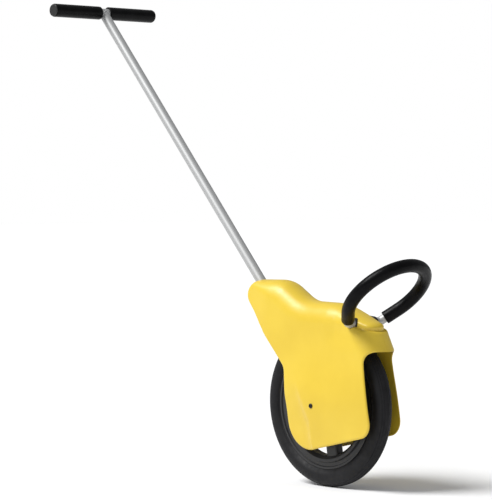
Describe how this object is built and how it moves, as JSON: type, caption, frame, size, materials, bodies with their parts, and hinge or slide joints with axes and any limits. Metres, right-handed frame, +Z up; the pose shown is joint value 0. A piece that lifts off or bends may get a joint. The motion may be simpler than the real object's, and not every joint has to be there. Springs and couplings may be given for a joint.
{
  "type": "unicycle",
  "caption": "Hand-guided single-wheel unicycle: pneumatic wheel under a two-part saddle shell, long raked pole with T-bar grips behind and a padded grab hoop in front.",
  "frame": {"origin": "on the ground, in the middle plane, straight under the axle", "axes": "+X forward (away from the pole), +Y to the left along the axle, +Z up"},
  "size_m": [1.1648, 0.344, 1.2122],
  "materials": {
    "tyre_rubber": "black tyre rubber",
    "tube_rubber": "butyl rubber",
    "wheel_plastic": "black moulded nylon",
    "brass": "nickel-plated brass",
    "black_plastic": "black plastic",
    "bearing_steel": "ground steel",
    "zinc_steel": "zinc-plated steel",
    "black_steel": "black powder coat",
    "cast_aluminium": "cast aluminium",
    "satin_aluminium": "satin anodised tube",
    "black_foam": "closed-cell foam",
    "black_screw": "black oxide steel",
    "yellow_plastic": "semi-gloss moulded yellow"
  },
  "bodies": {
    "frame": {"axle": "zinc_steel", "axle_nuts": "zinc_steel", "axle_spacers": "zinc_steel", "axle_washers": "zinc_steel", "bar_plugs": "black_plastic", "bearing_inner_race_left": "bearing_steel", "bearing_inner_race_right": "bearing_steel", "block_screws": "zinc_steel", "grip_left": "black_foam", "grip_right": "black_foam", "hoop_foam": "black_foam", "hoop_lock_screws": "zinc_steel", "hoop_sleeve": "black_steel", "hoop_tube": "satin_aluminium", "hub_spacer": "zinc_steel", "panel_screws": "black_screw", "pole": "satin_aluminium", "pole_block": "cast_aluminium", "pole_bolt": "zinc_steel", "pole_bolt_nut": "zinc_steel", "pole_grommet": "black_foam", "shell_left": "yellow_plastic", "shell_right": "yellow_plastic", "shell_screws": "zinc_steel", "side_plate_left": "black_steel", "side_plate_right": "black_steel", "spreader_bar": "zinc_steel", "spreader_screws": "zinc_steel", "t_bar": "satin_aluminium"},
    "wheel_assembly": {"tyre": "tyre_rubber", "inner_tube": "tube_rubber", "wheel": "wheel_plastic", "valve_stem": "brass", "valve_cap": "black_plastic", "bearing_outer_race_left": "bearing_steel", "bearing_outer_race_right": "bearing_steel", "bearing_balls": "bearing_steel"}
  },
  "joints": [
    {"name": "wheel_spin", "type": "hinge", "parent": "frame", "child": "wheel_assembly", "pos_m": [0, 0, 0.2], "axis": [0, 1, 0], "continuous": true}
  ]
}
